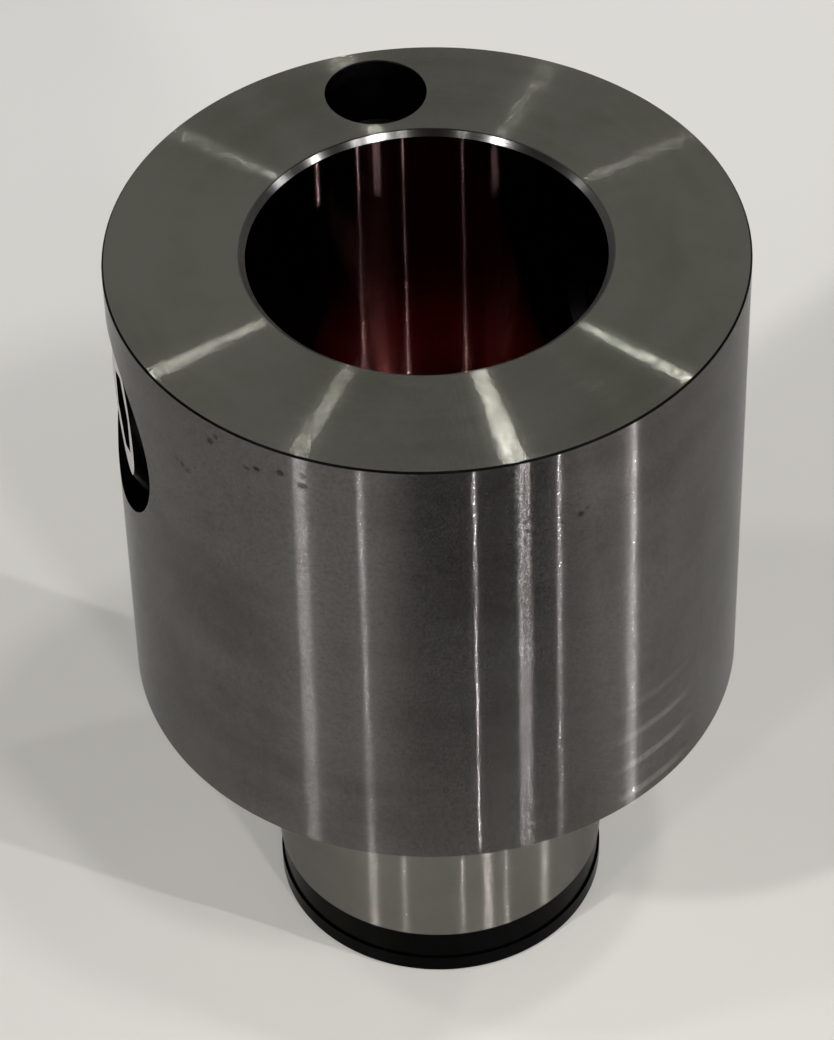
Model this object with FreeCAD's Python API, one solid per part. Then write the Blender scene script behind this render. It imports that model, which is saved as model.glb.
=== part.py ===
"""Modular tool holder extension of the 100 mm coupling size, in millimetres.

One turned and ground steel body carries a socket above and a spigot below. Two radial screws
sit in the socket wall and a floating pin crosses the spigot: in a stack the thrust screw of one
part pushes the floating pin of the next against the retaining screw and draws the faces together.

The frame has its origin at the centre of the underside, with +Z up the axis. The thrust screw
is on the -X side, the retaining screw on +X, and the locating hole and pin are on +Y.
"""
import FreeCAD
import Part
import math
import os

# Body and flange faces
BODY_DIAMETER = 100.0
BODY_LENGTH = 85.0
EDGE_BREAK = 0.4

# Socket
COUPLING_DIAMETER = 56.0
SOCKET_DEPTH = 58.0
SOCKET_CHAMFER = 0.85
SOCKET_RELIEF_DEPTH = 0.5
SOCKET_RELIEF_HEIGHT = 4.0

# Spigot, with the turned-down nose that the cap sits on
SPIGOT_LENGTH = 53.0
SPIGOT_CLEARANCE = 0.01
SPIGOT_RELIEF_DEPTH = 0.3
SPIGOT_RELIEF_HEIGHT = 2.5
SPIGOT_EDGE_BREAK = 0.3
NOSE_DIAMETER = 52.0
NOSE_LENGTH = 7.5
NOSE_CHAMFER = 1.0

# Coolant bore along the axis
COOLANT_DIAMETER = 14.0
COOLANT_CHAMFER = 1.0

# Radial screw holes through the socket wall, measured outwards from the axis of the body
SCREW_AXIS_DEPTH = 24.0
SCREW_MOUTH_DIAMETER = 32.0
SCREW_MOUTH_DEPTH = 5.0
SCREW_MOUTH_CHAMFER = 0.3
SCREW_THREAD_DIAMETER = 30.0
SCREW_TIP_DIAMETER = 24.0
SCREW_SHOULDER_WALL = 4.5
SCREW_CLEARANCE = 0.05
SCREW_RECESS = 1.1
SCREW_END_DIAMETER = 20.0
SCREW_END_CONE_LENGTH = 2.9
SCREW_EDGE_CHAMFER = 1.2
SCREW_HEX_ACROSS_FLATS = 12.0
SCREW_HEX_DEPTH = 6.5
SCREW_TIP_SETBACK = 0.2
THRUST_TRAVEL = 4.5
THRUST_CONE_END_DIAMETER = 10.0
RETAINING_CUP_DIAMETER = 20.0
RETAINING_CUP_DEPTH = 6.0

# Floating thrust pin across the spigot
PIN_DRAW_OFFSET = 0.4
PIN_DIAMETER = 20.0
PIN_CLEARANCE = 0.05
PIN_SETBACK = 0.5
PIN_BORE_EDGE_BREAK = 0.5
PIN_EDGE_CHAMFER = 0.5
PIN_CONE_LENGTH = 5.0
PIN_CUP_DIAMETER = 15.0
PIN_CUP_DEPTH = 6.0
PIN_WAIST_DIAMETER = 12.0
PIN_FLOAT_OUT = 3.0
PIN_FLOAT_BACK = 0.5

# Dog point screw that keeps the floating pin in the spigot
RETAINER_THREAD_DIAMETER = 8.0
RETAINER_DOG_DIAMETER = 5.0
RETAINER_CLEARANCE = 0.05
RETAINER_RECESS = 1.5
RETAINER_DOG_GAP = 1.0
RETAINER_HEX_ACROSS_FLATS = 4.0
RETAINER_HEX_DEPTH = 4.0
RETAINER_CHAMFER = 0.6

# Locating hole in the upper face and locating pin in the flange
LOCATING_EDGE_DISTANCE = 10.8
LOCATING_HOLE_DIAMETER = 16.0
LOCATING_HOLE_DEPTH = 12.0
LOCATING_HOLE_CHAMFER = 0.2
LOCATING_PIN_CLEARANCE = 0.2
LOCATING_PIN_PROJECTION = 8.0
LOCATING_PIN_SEAT_DEPTH = 10.0
LOCATING_PIN_CHAMFER = 1.0
LOCATING_PIN_SEAT_CLEARANCE = 0.01
DRILL_POINT_ANGLE = 118.0

# Plastic cap on the nose of the spigot
CAP_FLOOR = 2.0
CAP_LIP_HEIGHT = 3.5
CAP_LIP_DIAMETER = 55.9
CAP_SKIRT_DIAMETER = 55.2
CAP_EDGE_BREAK = 0.5
CAP_CLEARANCE = 0.05

# Plastic plug in the mouth of the coolant bore, on the floor of the socket
PLUG_FLANGE_DIAMETER = 34.0
PLUG_FLANGE_THICKNESS = 1.8
PLUG_FLANGE_EDGE = 0.6
PLUG_STEM_LENGTH = 12.0
PLUG_STEM_CLEARANCE = 0.1
PLUG_WALL = 1.4

# Directions, and radii and heights that follow from the sizes above
CENTRE = FreeCAD.Vector(0, 0, 0)
UP = FreeCAD.Vector(0, 0, 1)
THRUST_SIDE = FreeCAD.Vector(-1, 0, 0)
RETAINING_SIDE = FreeCAD.Vector(1, 0, 0)
LOCATING_SIDE = FreeCAD.Vector(0, 1, 0)
RETAINER_SIDE = LOCATING_SIDE
SEAM_ANGLE = -52.5
CUT_OVERRUN = 2.0

BODY_RADIUS = BODY_DIAMETER / 2
LOCATING_RADIUS = BODY_RADIUS - LOCATING_EDGE_DISTANCE
SOCKET_RADIUS = COUPLING_DIAMETER / 2
SPIGOT_RADIUS = SOCKET_RADIUS - SPIGOT_CLEARANCE
NOSE_RADIUS = NOSE_DIAMETER / 2
COOLANT_RADIUS = COOLANT_DIAMETER / 2

NOSE_END = CAP_FLOOR
NOSE_SHOULDER = NOSE_END + NOSE_LENGTH
FLANGE = NOSE_END + SPIGOT_LENGTH
TOP = FLANGE + BODY_LENGTH
SOCKET_FLOOR = TOP - SOCKET_DEPTH
SCREW_HEIGHT = TOP - SCREW_AXIS_DEPTH
PIN_HEIGHT = FLANGE - SCREW_AXIS_DEPTH + PIN_DRAW_OFFSET

SCREW_SHOULDER = SOCKET_RADIUS + SCREW_SHOULDER_WALL
SCREW_OUTER_END = BODY_RADIUS - SCREW_RECESS
SCREW_TIP_END = SOCKET_RADIUS + SCREW_TIP_SETBACK
SCREW_THREAD_RADIUS = SCREW_THREAD_DIAMETER / 2 - SCREW_CLEARANCE
SCREW_TIP_RADIUS = SCREW_TIP_DIAMETER / 2 - SCREW_CLEARANCE


def turned(corners):
    """Solid of revolution about +Z from closed (radius, height) corners."""
    points = [FreeCAD.Vector(radius, 0, height) for radius, height in corners]
    outline = Part.makePolygon(points + points[:1])
    return Part.Face(outline).revolve(CENTRE, UP, 360)


def aimed(shape, direction, origin):
    """Copy of a shape drawn along +Z from the centre, turned to a direction at a new origin."""
    placement = FreeCAD.Placement(origin, FreeCAD.Rotation(UP, direction))
    return shape.transformed(placement.toMatrix(), copy=True)


def at_height(height):
    """Point on the axis of the body."""
    return FreeCAD.Vector(0, 0, height)


def hex_cutter(across_flats, depth, mouth):
    """Hexagonal recess along Z that opens at the height mouth and goes down by depth."""
    corner_radius = across_flats / 2 / math.cos(math.radians(30))
    corners = []
    for step in range(7):
        angle = math.radians(60 * step)
        corners.append(FreeCAD.Vector(corner_radius * math.cos(angle),
                                      corner_radius * math.sin(angle), mouth - depth))
    face = Part.Face(Part.makePolygon(corners))
    return face.extrude(UP * (depth + CUT_OVERRUN))


def drilled_hole(radius, depth, chamfer):
    """Cutter for a blind hole that opens upwards at the centre, with a drill point."""
    point = radius / math.tan(math.radians(DRILL_POINT_ANGLE / 2))
    return turned([
        (0, CUT_OVERRUN),
        (radius + chamfer + CUT_OVERRUN, CUT_OVERRUN),
        (radius, -chamfer),
        (radius, -depth),
        (0, -depth - point),
    ])


def body_blank():
    """The turned form of the holder: nose, spigot, flange, body, socket and coolant bore.

    It is turned about its axis by the seam angle, so that no seam line runs through a radial hole.
    """
    spigot_relief = SPIGOT_RADIUS - SPIGOT_RELIEF_DEPTH
    socket_relief = SOCKET_RADIUS + SOCKET_RELIEF_DEPTH
    blank = turned([
        (COOLANT_RADIUS, NOSE_END),
        (NOSE_RADIUS - NOSE_CHAMFER, NOSE_END),
        (NOSE_RADIUS, NOSE_END + NOSE_CHAMFER),
        (NOSE_RADIUS, NOSE_SHOULDER),
        (SPIGOT_RADIUS - SPIGOT_EDGE_BREAK, NOSE_SHOULDER),
        (SPIGOT_RADIUS, NOSE_SHOULDER + SPIGOT_EDGE_BREAK),
        (SPIGOT_RADIUS, FLANGE - SPIGOT_RELIEF_HEIGHT),
        (spigot_relief, FLANGE - SPIGOT_RELIEF_HEIGHT),
        (spigot_relief, FLANGE),
        (BODY_RADIUS - EDGE_BREAK, FLANGE),
        (BODY_RADIUS, FLANGE + EDGE_BREAK),
        (BODY_RADIUS, TOP - EDGE_BREAK),
        (BODY_RADIUS - EDGE_BREAK, TOP),
        (SOCKET_RADIUS + SOCKET_CHAMFER, TOP),
        (SOCKET_RADIUS, TOP - SOCKET_CHAMFER),
        (SOCKET_RADIUS, SOCKET_FLOOR + SOCKET_RELIEF_HEIGHT),
        (socket_relief, SOCKET_FLOOR + SOCKET_RELIEF_HEIGHT),
        (socket_relief, SOCKET_FLOOR),
        (COOLANT_RADIUS + COOLANT_CHAMFER, SOCKET_FLOOR),
        (COOLANT_RADIUS, SOCKET_FLOOR - COOLANT_CHAMFER),
    ])
    blank.rotate(CENTRE, UP, SEAM_ANGLE)
    return blank


def screw_hole(direction):
    """Stepped cutter for one radial screw: tip bore, thread, wide mouth and chamfer."""
    tip = SCREW_TIP_DIAMETER / 2
    thread = SCREW_THREAD_DIAMETER / 2
    mouth = SCREW_MOUTH_DIAMETER / 2
    mouth_floor = BODY_RADIUS - SCREW_MOUTH_DEPTH
    inside = SOCKET_RADIUS - tip
    flare = mouth + SCREW_MOUTH_CHAMFER + CUT_OVERRUN
    cutter = turned([
        (0, inside),
        (tip, inside),
        (tip, SCREW_SHOULDER),
        (thread, SCREW_SHOULDER),
        (thread, mouth_floor),
        (mouth, mouth_floor),
        (mouth, BODY_RADIUS - SCREW_MOUTH_CHAMFER),
        (flare, BODY_RADIUS + CUT_OVERRUN),
        (0, BODY_RADIUS + CUT_OVERRUN),
    ])
    return aimed(cutter, direction, at_height(SCREW_HEIGHT))


def pin_bore():
    """Cutter for the bore across the spigot, with a broken edge at each mouth."""
    radius = PIN_DIAMETER / 2
    reach = SPIGOT_RADIUS + CUT_OVERRUN
    flare = radius + PIN_BORE_EDGE_BREAK + CUT_OVERRUN
    straight = SPIGOT_RADIUS - PIN_BORE_EDGE_BREAK
    cutter = turned([
        (0, -reach),
        (flare, -reach),
        (radius, -straight),
        (radius, straight),
        (flare, reach),
        (0, reach),
    ])
    return aimed(cutter, RETAINING_SIDE, at_height(PIN_HEIGHT))


def retainer_hole():
    """Cutter for the threaded hole that leads from the spigot's side to the pin bore."""
    start = PIN_WAIST_DIAMETER / 2
    length = SPIGOT_RADIUS + CUT_OVERRUN - start
    cutter = Part.makeCylinder(RETAINER_THREAD_DIAMETER / 2, length, at_height(start), UP)
    return aimed(cutter, RETAINER_SIDE, at_height(PIN_HEIGHT))


def locating_hole():
    """Cutter for the blind hole in the upper face."""
    cutter = drilled_hole(LOCATING_HOLE_DIAMETER / 2, LOCATING_HOLE_DEPTH, LOCATING_HOLE_CHAMFER)
    cutter.translate(LOCATING_SIDE * LOCATING_RADIUS + at_height(TOP))
    return cutter


def locating_pin_seat():
    """Cutter for the reamed hole in the flange that the locating pin is pressed into."""
    radius = LOCATING_HOLE_DIAMETER / 2 + LOCATING_PIN_SEAT_CLEARANCE
    cutter = drilled_hole(radius, LOCATING_PIN_SEAT_DEPTH, 0)
    foot = LOCATING_SIDE * LOCATING_RADIUS + at_height(FLANGE)
    return aimed(cutter, UP * -1, foot)


def make_holder_body():
    """The one-piece steel body with every hole cut."""
    cutters = [
        screw_hole(THRUST_SIDE),
        screw_hole(RETAINING_SIDE),
        pin_bore(),
        retainer_hole(),
        locating_hole(),
        locating_pin_seat(),
    ]
    body = body_blank()
    for cutter in cutters:
        body = body.cut(cutter)
    return body


def make_thrust_screw():
    """Headless screw, fully backed off, with a cone point inside.

    Its outer end is a flat ring round a hexagon socket, with a cone between ring and thread.
    """
    thread_start = SCREW_SHOULDER + THRUST_TRAVEL
    cone_end = THRUST_CONE_END_DIAMETER / 2
    cone_start = SCREW_TIP_END + SCREW_TIP_RADIUS - cone_end
    screw = turned([
        (0, SCREW_TIP_END),
        (cone_end, SCREW_TIP_END),
        (SCREW_TIP_RADIUS, cone_start),
        (SCREW_TIP_RADIUS, thread_start),
        (SCREW_THREAD_RADIUS - SCREW_EDGE_CHAMFER, thread_start),
        (SCREW_THREAD_RADIUS, thread_start + SCREW_EDGE_CHAMFER),
        (SCREW_THREAD_RADIUS, SCREW_OUTER_END - SCREW_END_CONE_LENGTH),
        (SCREW_END_DIAMETER / 2, SCREW_OUTER_END),
        (0, SCREW_OUTER_END),
    ])
    screw = screw.cut(hex_cutter(SCREW_HEX_ACROSS_FLATS, SCREW_HEX_DEPTH, SCREW_OUTER_END))
    return aimed(screw, THRUST_SIDE, at_height(SCREW_HEIGHT))


def make_retaining_screw():
    """Headless screw that seats on the shoulder of its hole and has a conical cup inside."""
    cup = RETAINING_CUP_DIAMETER / 2
    cup_floor = cup - RETAINING_CUP_DEPTH
    screw = turned([
        (0, SCREW_TIP_END + RETAINING_CUP_DEPTH),
        (cup_floor, SCREW_TIP_END + RETAINING_CUP_DEPTH),
        (cup, SCREW_TIP_END),
        (SCREW_TIP_RADIUS, SCREW_TIP_END),
        (SCREW_TIP_RADIUS, SCREW_SHOULDER),
        (SCREW_THREAD_RADIUS, SCREW_SHOULDER),
        (SCREW_THREAD_RADIUS, SCREW_OUTER_END - SCREW_END_CONE_LENGTH),
        (SCREW_END_DIAMETER / 2, SCREW_OUTER_END),
        (0, SCREW_OUTER_END),
    ])
    screw = screw.cut(hex_cutter(SCREW_HEX_ACROSS_FLATS, SCREW_HEX_DEPTH, SCREW_OUTER_END))
    return aimed(screw, RETAINING_SIDE, at_height(SCREW_HEIGHT))


def spigot_half_width(offset):
    """Distance from the axis to the spigot's side, at an offset from its middle plane."""
    return math.sqrt(SPIGOT_RADIUS ** 2 - offset ** 2)


def make_floating_thrust_pin():
    """Hardened pin with a conical cup towards the thrust screw and a cone point opposite.

    Its waist is a groove for the dog point: the groove's width sets how far the pin floats.
    """
    radius = PIN_DIAMETER / 2 - PIN_CLEARANCE
    waist = PIN_WAIST_DIAMETER / 2
    cone = radius - PIN_CONE_LENGTH
    cup_end = -spigot_half_width(radius) + PIN_SETBACK
    cone_end = spigot_half_width(cone) - PIN_SETBACK
    cup = PIN_CUP_DIAMETER / 2
    cup_floor = cup - PIN_CUP_DEPTH
    groove_start = -RETAINER_DOG_DIAMETER / 2 - PIN_FLOAT_OUT
    groove_end = RETAINER_DOG_DIAMETER / 2 + PIN_FLOAT_BACK
    pin = turned([
        (0, cup_end + PIN_CUP_DEPTH),
        (cup_floor, cup_end + PIN_CUP_DEPTH),
        (cup, cup_end),
        (radius - PIN_EDGE_CHAMFER, cup_end),
        (radius, cup_end + PIN_EDGE_CHAMFER),
        (radius, groove_start),
        (waist, groove_start),
        (waist, groove_end),
        (radius, groove_end),
        (radius, cone_end - PIN_CONE_LENGTH),
        (cone, cone_end),
        (0, cone_end),
    ])
    return aimed(pin, RETAINING_SIDE, at_height(PIN_HEIGHT))


def make_pin_retainer():
    """Small dog point screw whose tip stands in the groove of the floating pin."""
    thread = RETAINER_THREAD_DIAMETER / 2 - RETAINER_CLEARANCE
    dog = RETAINER_DOG_DIAMETER / 2 - RETAINER_CLEARANCE
    tip = PIN_WAIST_DIAMETER / 2 + RETAINER_DOG_GAP
    thread_start = PIN_DIAMETER / 2 + RETAINER_DOG_GAP
    outer_end = SPIGOT_RADIUS - RETAINER_RECESS
    screw = turned([
        (0, tip),
        (dog, tip),
        (dog, thread_start),
        (thread - RETAINER_CHAMFER, thread_start),
        (thread, thread_start + RETAINER_CHAMFER),
        (thread, outer_end - RETAINER_CHAMFER),
        (thread - RETAINER_CHAMFER, outer_end),
        (0, outer_end),
    ])
    screw = screw.cut(hex_cutter(RETAINER_HEX_ACROSS_FLATS, RETAINER_HEX_DEPTH, outer_end))
    return aimed(screw, RETAINER_SIDE, at_height(PIN_HEIGHT))


def make_locating_pin():
    """Pin pressed into the flange; its free end enters the next part's hole with clearance."""
    seat = LOCATING_HOLE_DIAMETER / 2
    free = seat - LOCATING_PIN_CLEARANCE
    lower = FLANGE - LOCATING_PIN_PROJECTION
    upper = FLANGE + LOCATING_PIN_SEAT_DEPTH
    pin = turned([
        (0, lower),
        (free - LOCATING_PIN_CHAMFER, lower),
        (free, lower + LOCATING_PIN_CHAMFER),
        (free, FLANGE),
        (seat, FLANGE),
        (seat, upper - LOCATING_PIN_CHAMFER),
        (seat - LOCATING_PIN_CHAMFER, upper),
        (0, upper),
    ])
    pin.translate(LOCATING_SIDE * LOCATING_RADIUS)
    return pin


def make_spigot_cap():
    """Moulded cap over the nose of the spigot, with a thicker lip that the part stands on."""
    lip = CAP_LIP_DIAMETER / 2
    skirt = CAP_SKIRT_DIAMETER / 2
    inside = NOSE_RADIUS + CAP_CLEARANCE
    return turned([
        (0, 0),
        (lip - CAP_EDGE_BREAK, 0),
        (lip, CAP_EDGE_BREAK),
        (lip, CAP_LIP_HEIGHT),
        (skirt, CAP_LIP_HEIGHT),
        (skirt, NOSE_SHOULDER),
        (inside, NOSE_SHOULDER),
        (inside, CAP_FLOOR),
        (0, CAP_FLOOR),
    ])


def make_socket_plug():
    """Hollow moulded plug: a flange on the socket floor and a stem in the coolant bore."""
    flange = PLUG_FLANGE_DIAMETER / 2
    stem = COOLANT_RADIUS - PLUG_STEM_CLEARANCE
    bore = stem - PLUG_WALL
    flange_top = SOCKET_FLOOR + PLUG_FLANGE_THICKNESS
    stem_end = SOCKET_FLOOR - PLUG_STEM_LENGTH
    return turned([
        (0, stem_end),
        (stem, stem_end),
        (stem, SOCKET_FLOOR),
        (flange, SOCKET_FLOOR),
        (flange, flange_top - PLUG_FLANGE_EDGE),
        (flange - PLUG_FLANGE_EDGE, flange_top),
        (bore, flange_top),
        (bore, stem_end + PLUG_WALL),
        (0, stem_end + PLUG_WALL),
    ])


def main():
    """Build every piece and write one STEP file for each."""
    pieces = {
        "holder_body": make_holder_body(),
        "thrust_screw": make_thrust_screw(),
        "retaining_screw": make_retaining_screw(),
        "floating_thrust_pin": make_floating_thrust_pin(),
        "pin_retainer": make_pin_retainer(),
        "locating_pin": make_locating_pin(),
        "spigot_cap": make_spigot_cap(),
        "socket_plug": make_socket_plug(),
    }
    os.makedirs("parts", exist_ok=True)
    for name, shape in pieces.items():
        shape.exportStep(os.path.join("parts", name + ".step"))
        print(name, "solids", len(shape.Solids), "volume", round(shape.Volume, 1), "valid", shape.isValid())


main()
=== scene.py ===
"""Looks of a modular tool holder extension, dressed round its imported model.

The ground steel body, its screws, the cap on its spigot and the plug in its socket are turned
here on fine profiles, with the same sizes as the solids that they stand for. Everything is in
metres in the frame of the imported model: +Z up the axis of the body, the thrust screw on -X, the
retaining screw on +X and the locating hole on +Y.
"""
from __future__ import annotations

import logging
import math
from dataclasses import dataclass, field
from enum import Enum
from typing import Any, Mapping, Protocol, Sequence

import bpy
from mathutils import Matrix, Vector


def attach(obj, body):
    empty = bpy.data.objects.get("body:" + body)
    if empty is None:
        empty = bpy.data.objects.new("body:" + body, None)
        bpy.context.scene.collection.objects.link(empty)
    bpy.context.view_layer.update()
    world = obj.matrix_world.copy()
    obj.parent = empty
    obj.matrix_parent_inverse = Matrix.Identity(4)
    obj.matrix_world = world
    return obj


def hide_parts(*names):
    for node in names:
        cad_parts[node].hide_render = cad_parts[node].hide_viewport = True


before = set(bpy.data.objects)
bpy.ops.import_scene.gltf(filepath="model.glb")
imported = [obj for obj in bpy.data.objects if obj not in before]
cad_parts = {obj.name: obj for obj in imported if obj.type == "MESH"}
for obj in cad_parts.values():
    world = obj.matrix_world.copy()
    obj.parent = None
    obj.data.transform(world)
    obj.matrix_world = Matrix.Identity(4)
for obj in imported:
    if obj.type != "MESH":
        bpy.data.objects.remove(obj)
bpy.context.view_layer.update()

LOG = logging.getLogger("tool_holder_extension")

Colour = tuple[float, float, float]
Corner = tuple[float, float]
Span = tuple[float, float]

UP = Vector((0.0, 0.0, 1.0))
THRUST_SIDE = Vector((-1.0, 0.0, 0.0))
RETAINING_SIDE = Vector((1.0, 0.0, 0.0))
LOCATING_SIDE = Vector((0.0, 1.0, 0.0))
RETAINER_SIDE = LOCATING_SIDE
OVERRUN = 0.002
TINY = 1e-9

BODY_SEGMENTS = 288
CAP_SEGMENTS = 192
SCREW_SEGMENTS = 128
PIN_SEGMENTS = 96
SMALL_SCREW_SEGMENTS = 64
SMALL_HOLE_SEGMENTS = 48
HEXAGON = 6


def at_height(height: float) -> Vector:
    """Point on the axis of the body."""
    return Vector((0.0, 0.0, height))


class Signal:
    """A number from a shader node, on which Python's operators add Math nodes."""

    def __init__(self, shader: Shader, socket: bpy.types.NodeSocket) -> None:
        """Wrap a socket.

        Args:
            shader: The node tree that the socket is in.
            socket: The output socket that gives the number.
        """
        self.shader = shader
        self.socket = socket

    def math(self, operation: str, *values: Signal | float) -> Signal:
        """Add one Math node.

        Args:
            operation: The node's operation.
            values: Its inputs in order.

        Returns:
            The node's result.
        """
        inputs = dict(enumerate(values))
        return self.shader.signal("ShaderNodeMath", {"operation": operation}, inputs)

    def of(self, operation: str) -> Signal:
        """Result of an operation on this number alone."""
        return self.math(operation, self)

    def __add__(self, other: Signal | float) -> Signal:
        """Sum."""
        return self.math("ADD", self, other)

    def __radd__(self, other: float) -> Signal:
        """Sum with a number in front."""
        return self.math("ADD", other, self)

    def __sub__(self, other: Signal | float) -> Signal:
        """Difference."""
        return self.math("SUBTRACT", self, other)

    def __rsub__(self, other: float) -> Signal:
        """Difference from a number."""
        return self.math("SUBTRACT", other, self)

    def __mul__(self, other: Signal | float) -> Signal:
        """Product."""
        return self.math("MULTIPLY", self, other)

    def __rmul__(self, other: float) -> Signal:
        """Product with a number in front."""
        return self.math("MULTIPLY", other, self)

    def __truediv__(self, other: Signal | float) -> Signal:
        """Quotient."""
        return self.math("DIVIDE", self, other)

    def __rtruediv__(self, other: float) -> Signal:
        """Number divided by this."""
        return self.math("DIVIDE", other, self)

    def step(self, low: float, high: float) -> Signal:
        """Smooth step of this number.

        Args:
            low: Value that gives 0.
            high: Value that gives 1.

        Returns:
            A number from 0 to 1.
        """
        settings = {"interpolation_type": "SMOOTHSTEP"}
        inputs = {"Value": self, "From Min": low, "From Max": high}
        return self.shader.signal("ShaderNodeMapRange", settings, inputs)


class Shader:
    """Node tree of one material or world, with one way to add any node."""

    def __init__(self, owner: bpy.types.Material | bpy.types.World) -> None:
        """Clear the owner's node tree.

        Args:
            owner: The material or world that is shaded.
        """
        owner.use_nodes = True
        self.owner = owner
        self.tree = owner.node_tree
        self.tree.nodes.clear()

    def node(self, kind: str, settings: Mapping[str, Any] | None = None,
             inputs: Mapping[Any, Any] | None = None) -> bpy.types.Node:
        """Add a node.

        Args:
            kind: The node's type.
            settings: Properties, which are set first.
            inputs: Values or links by socket name or index.

        Returns:
            The new node.
        """
        made = self.tree.nodes.new(kind)
        for name, value in (settings or {}).items():
            setattr(made, name, value)
        for key, value in (inputs or {}).items():
            self.feed(made.inputs[key], value)
        return made

    def feed(self, target: bpy.types.NodeSocket, value: Any) -> None:
        """Link a socket to what feeds it, or give it a plain value."""
        if isinstance(value, Signal):
            self.tree.links.new(value.socket, target)
        elif isinstance(value, bpy.types.NodeSocket):
            self.tree.links.new(value, target)
        elif target.type == "RGBA" and len(value) == 3:
            target.default_value = (*value, 1.0)
        else:
            target.default_value = value

    def signal(self, kind: str, settings: Mapping[str, Any] | None = None,
               inputs: Mapping[Any, Any] | None = None, output: int | str = 0) -> Signal:
        """Add a node and wrap one of its outputs."""
        return Signal(self, self.node(kind, settings, inputs).outputs[output])

    def blend(self, factor: Signal | float, first: Any, second: Any) -> bpy.types.NodeSocket:
        """Mix two colours.

        Args:
            factor: Share of the second colour.
            first: Colour or colour socket.
            second: Colour or colour socket.

        Returns:
            The mixed colour's socket.
        """
        mix = self.node("ShaderNodeMix", {"data_type": "RGBA"})
        self.feed(mix.inputs[0], factor)
        self.feed(mix.inputs[6], first)
        self.feed(mix.inputs[7], second)
        return mix.outputs[2]

    def noise(self, vector: bpy.types.NodeSocket, scale: float, detail: float = 2.0,
              roughness: float = 0.5) -> Signal:
        """Noise texture's value, from 0 to 1."""
        inputs = {"Vector": vector, "Scale": scale, "Detail": detail, "Roughness": roughness}
        return self.signal("ShaderNodeTexNoise", {}, inputs)

    def vector(self, operation: str, *values: Any) -> bpy.types.NodeSocket:
        """Vector Math node's vector result, for its inputs in order."""
        made = self.node("ShaderNodeVectorMath", {"operation": operation}, dict(enumerate(values)))
        return made.outputs[0]

    def surface(self, shader_socket: bpy.types.NodeSocket) -> None:
        """Send a shader to the output node."""
        kind = "ShaderNodeOutputWorld"
        if isinstance(self.owner, bpy.types.Material):
            kind = "ShaderNodeOutputMaterial"
        self.node(kind, {}, {"Surface": shader_socket})


@dataclass(frozen=True)
class Place:
    """Coordinates of a point on a piece, as a shader sees them."""

    vector: bpy.types.NodeSocket
    x: Signal
    y: Signal
    z: Signal
    radius: Signal

    @classmethod
    def on(cls, shader: Shader) -> Place:
        """Read the place from the piece's own coordinates, which move with it."""
        source = shader.node("ShaderNodeTexCoord").outputs["Object"]
        split = shader.node("ShaderNodeSeparateXYZ", {}, {0: source})
        x, y, z = (Signal(shader, output) for output in split.outputs)
        radius = (x * x + y * y).of("SQRT")
        return cls(source, x, y, z, radius)


def ring_vector(shader: Shader, place: Place, around: float,
                spacing: float) -> bpy.types.NodeSocket:
    """Coordinates that stretch a texture into rings round the axis of the body.

    Args:
        shader: The shader that uses them.
        place: The point's coordinates.
        around: Features in one radian round the axis.
        spacing: Length of one feature along the profile.

    Returns:
        A vector socket.
    """
    inputs = {
        0: place.x / place.radius * around,
        1: place.y / place.radius * around,
        2: (place.radius + place.z) * (1.0 / spacing),
    }
    return shader.node("ShaderNodeCombineXYZ", {}, inputs).outputs[0]


def tilted(shader: Shader, place: Place, normal: bpy.types.NodeSocket,
           tilt: Signal) -> bpy.types.NodeSocket:
    """Tilt a normal along the turned profile, so never round the axis of the body.

    Args:
        shader: The shader that uses it.
        place: The point's coordinates.
        normal: The surface's own normal.
        tilt: Slope of the tilt.

    Returns:
        The tilted normal's socket.
    """
    around = shader.node("ShaderNodeCombineXYZ", {}, {
        0: place.y / place.radius * -1.0, 1: place.x / place.radius, 2: 0.0}).outputs[0]
    along = shader.vector("CROSS_PRODUCT", normal, around)
    lean = shader.node("ShaderNodeVectorMath", {"operation": "SCALE"}, {0: along, 3: tilt})
    return shader.vector("NORMALIZE", shader.vector("ADD", normal, lean.outputs[0]))


class Wear(Protocol):
    """One thing that use or grinding adds to the colour of a turned surface."""

    def over(self, shader: Shader, place: Place,
             colour: bpy.types.NodeSocket) -> bpy.types.NodeSocket:
        """Add it over a colour."""


@dataclass(frozen=True)
class Mark:
    """A dark pit, stain or scratch on the steel, round the middle of a short line."""

    x: float
    y: float
    z: float
    radius: float
    depth: float = 0.8
    stretch: float = 1.0
    core: float = 0.4
    colour: Colour = (0.004, 0.003, 0.003)

    def over(self, shader: Shader, place: Place,
             colour: bpy.types.NodeSocket) -> bpy.types.NodeSocket:
        """Darken a colour at the mark."""
        across = place.x - self.x
        along = place.y - self.y
        above = (place.z - self.z) / self.stretch
        distance = (across * across + along * along + above * above).of("SQRT")
        share = (1.0 - distance.step(self.radius * self.core, self.radius)) * self.depth
        return shader.blend(share, colour, self.colour)


@dataclass(frozen=True)
class PaintedFootReflection:
    """Painted reflection: a lighter, red colour at the foot of a bore for the light and the red
    plug that it reflects there, which fades out on the way up.
    """

    colour: Colour
    fade: Span = (0.086, 0.114)

    def over(self, shader: Shader, place: Place,
             colour: bpy.types.NodeSocket) -> bpy.types.NodeSocket:
        """Paint the lighter reflection over a colour near the foot."""
        return shader.blend(place.z.step(*self.fade), self.colour, colour)


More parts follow.
